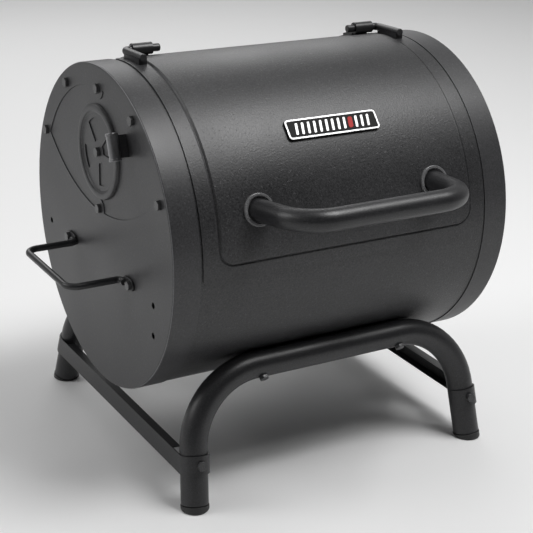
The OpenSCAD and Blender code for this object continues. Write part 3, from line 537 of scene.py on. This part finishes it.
for slat in range(slat_count):
    if slat != red_slat:
        raised_bar(bm, 0.0016, 0.0072, 0.0012, slat_low, slat_high, 0.0002,
                   (slat_x[slat], 0), slat_lean)
bmesh.ops.transform(bm, verts=bm.verts, matrix=plate_place)
bmesh.ops.recalc_face_normals(bm, faces=bm.faces)
make("Name_plate_brightwork", bm, plate_bright, "plate_metal", "lid")

bm = bmesh.new()
raised_bar(bm, 0.0030, 0.0068, 0.0026, slat_low, slat_high, 0.0002,
           (slat_x[red_slat], 0), slat_lean)
bmesh.ops.transform(bm, verts=bm.verts, matrix=plate_place)
bmesh.ops.recalc_face_normals(bm, faces=bm.faces)
make("Name_plate_lozenge", bm, plate_red, "plate_metal", "lid")

# Lid hinges: a steel rod bent to an L, one leg turning in a sleeve welded to a bracket
# on the drum, the other lying on the lid on a saddle, held by two screws.
hinge_r, hinge_rod, hinge_x, hinge_bend, pin_x = 0.1984, 0.0045, 0.173, 0.007, 0.129
hinge_angle, arm_arc = 100, 15


def on_drum(angle, r, x=0.0):
    """The point at an angle, a radius and a place along the drum."""
    a = math.radians(angle)
    return Vector((x, AXIS.y - r * math.cos(a), AXIS.z + r * math.sin(a)))


arm_way = on_drum(hinge_angle - arm_arc, hinge_r) - on_drum(hinge_angle, hinge_r)
arm_l = arm_way.length
arm_way.normalize()
for side, name in ((-1, "left"), (1, "right")):
    bm = bmesh.new()
    bent(bm, on_drum(hinge_angle, hinge_r, pin_x), (1, 0, 0), hinge_rod, [
        hinge_x - hinge_bend - pin_x, (hinge_bend, 90, Vector((1, 0, 0)).cross(arm_way)),
        arm_l - hinge_bend], around=32, tip=0.0008)
    if side < 0:
        bmesh.ops.scale(bm, verts=bm.verts, vec=(-1, 1, 1))
        bmesh.ops.recalc_face_normals(bm, faces=bm.faces)
    part = f"{name}_hinge_"
    title = part.capitalize()
    make(title + "arm", bm, rod_paint, "rod_paint", "lid", part + "arm")
    pressed(title + "bracket", part + "bracket", rod_paint, "rod_paint", "base", 0.0005)
    pressed(title + "saddle", part + "saddle", rod_paint, "rod_paint", "lid", 0.0004)
pressed("Hinge_screws", "hinge_screws", bolt_black, "fastener", "lid", 0.0005)

# Grate rests: bent steel angles inside each end cap, held by the carry handles' bolts.
inner_steel = coat("inner_steel", (0.05, 0.05, 0.05), (0.12, 0.12, 0.12), 0.42, 500.0, 0.15, metallic=0.7)
pressed("Left_grate_rest", "left_grate_rest", inner_steel, "inner_steel", "base", 0.0003)
pressed("Right_grate_rest", "right_grate_rest", inner_steel, "inner_steel", "base", 0.0003)

# Grates: a frame of thick rod with thinner rods welded across it, plated for cooking
# and left plain for the charcoal.
grate_chrome = coat("grate_chrome", (0.38, 0.38, 0.38), (0.6, 0.6, 0.6), 0.24, 700.0, 0.1, metallic=0.95)
coal_steel = coat("coal_steel", (0.045, 0.042, 0.04), (0.12, 0.11, 0.105), 0.5, 500.0, 0.25, metallic=0.6)
frame_rod, cross_rod, grate_corner = 0.003, 0.002, 0.018
for node, finish, kind, body, pitch, support in (
        ("cooking_grate", grate_chrome, "grate_chrome", "cooking_grate_body", 0.020, 0.070),
        ("charcoal_grate", coal_steel, "coal_steel", "charcoal_grate_body", 0.022, 0.060)):
    low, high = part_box(node)
    x_half, y_half, z = high.x - frame_rod, (high.y - low.y) / 2 - frame_rod, high.z - frame_rod
    bm = bmesh.new()
    side = 2 * (x_half - grate_corner)
    depth = 2 * (y_half - grate_corner)
    turn = (grate_corner, 90, (0, 0, 1))
    bent(bm, (-x_half + grate_corner, AXIS.y - y_half, z), (1, 0, 0), frame_rod,
         [side, turn, depth, turn, side, turn, depth, turn], around=16)
    rods = int((x_half - grate_corner) / pitch)
    for rod in range(-rods, rods + 1):
        bent(bm, (rod * pitch, AXIS.y - y_half, z), (0, 1, 0), cross_rod, [2 * y_half], around=12)
    for way in (-1, 1):
        bent(bm, (-rods * pitch - 0.004, AXIS.y + way * support, z + 0.0005 - 2 * cross_rod), (1, 0, 0),
             cross_rod, [2 * rods * pitch + 0.008], around=12, tip=0.0006)
    make(node.capitalize(), bm, finish, kind, body, node)

# Studio: a wide pale floor, a soft box over the front, weaker ones to the left and
# behind, and a pale room. The camera stands at the front left, a little above the lid.
floor = bmesh.new()
bmesh.ops.create_circle(floor, cap_ends=True, segments=96, radius=30.0)
floor_mesh = bpy.data.meshes.new("Floor")
floor.to_mesh(floor_mesh)
floor.free()
floor_finish = bpy.data.materials.new("floor_pale")
floor_finish.use_nodes = True
floor_shader = floor_finish.node_tree.nodes["Principled BSDF"]
floor_shader.inputs["Base Color"].default_value = (0.86, 0.86, 0.86, 1)
floor_shader.inputs["Roughness"].default_value = 0.9
floor_shader.inputs["Specular IOR Level"].default_value = 0.1
floor_mesh.materials.append(floor_finish)
floor_piece = bpy.data.objects.new("Floor", floor_mesh)
bpy.context.collection.objects.link(floor_piece)


def soft_box(name, at, size, power):
    """A soft light at a point, facing the drum."""
    lamp = bpy.data.lights.new(name, "AREA")
    lamp.shape = "RECTANGLE"
    lamp.size, lamp.size_y = size
    lamp.energy = power
    lamp_piece = bpy.data.objects.new(name, lamp)
    lamp_piece.location = at
    lamp_piece.rotation_mode = "QUATERNION"
    lamp_piece.rotation_quaternion = (AXIS - Vector(at)).to_track_quat("-Z", "Y")
    bpy.context.collection.objects.link(lamp_piece)


soft_box("Light_top", (0.78, -0.72, 2.4), (1.2, 1.0), 46)
soft_box("Light_left", (-2.4, 1.0, 2.0), (1.4, 1.4), 24)
soft_box("Light_back", (0.6, 2.4, 1.8), (2.4, 1.2), 20)

room = bpy.data.worlds.new("Room")
bpy.context.scene.world = room
room.use_nodes = True
sky = Wire(room.node_tree)
path = sky.node("LightPath")
shown = sky.node("Background", {}, {"Color": (1.0, 1.0, 1.0, 1), "Strength": 1.0})
way = sky.node("TexCoord")
split = sky.node("SeparateXYZ", {}, {"Vector": way}, out=1)
front = sky.node("MapRange", {"interpolation_type": "SMOOTHSTEP"}, {
    "Value": split, "From Min": -0.7, "From Max": 0.0, "To Min": 0.0, "To Max": 0.33})
lit = sky.node("Background", {}, {"Color": (1.0, 1.0, 1.0, 1), "Strength": front})
both = sky.node("MixShader", {}, {0: path, 1: lit, 2: shown})
room.node_tree.links.new(both.socket, room.node_tree.nodes["World Output"].inputs["Surface"])
bpy.context.scene.view_settings.view_transform = "Standard"

camera = bpy.data.cameras.new("Camera")
camera.lens = 95.084
camera.sensor_width = 36.0
camera.clip_start = 0.05
camera.clip_end = 200.0
camera_piece = bpy.data.objects.new("Camera", camera)
bpy.context.collection.objects.link(camera_piece)
camera_right = Vector((0.86601, -0.49918, 0.02916))
camera_up = Vector((0.16090, 0.33340, 0.92895))
camera_back = Vector((-0.47343, -0.79979, 0.36905))
camera_piece.matrix_world = Matrix.Translation((-0.83066, -1.37628, 0.84270)) @ Matrix(
    (camera_right, camera_up, camera_back)).transposed().to_4x4()
bpy.context.scene.camera = camera_piece
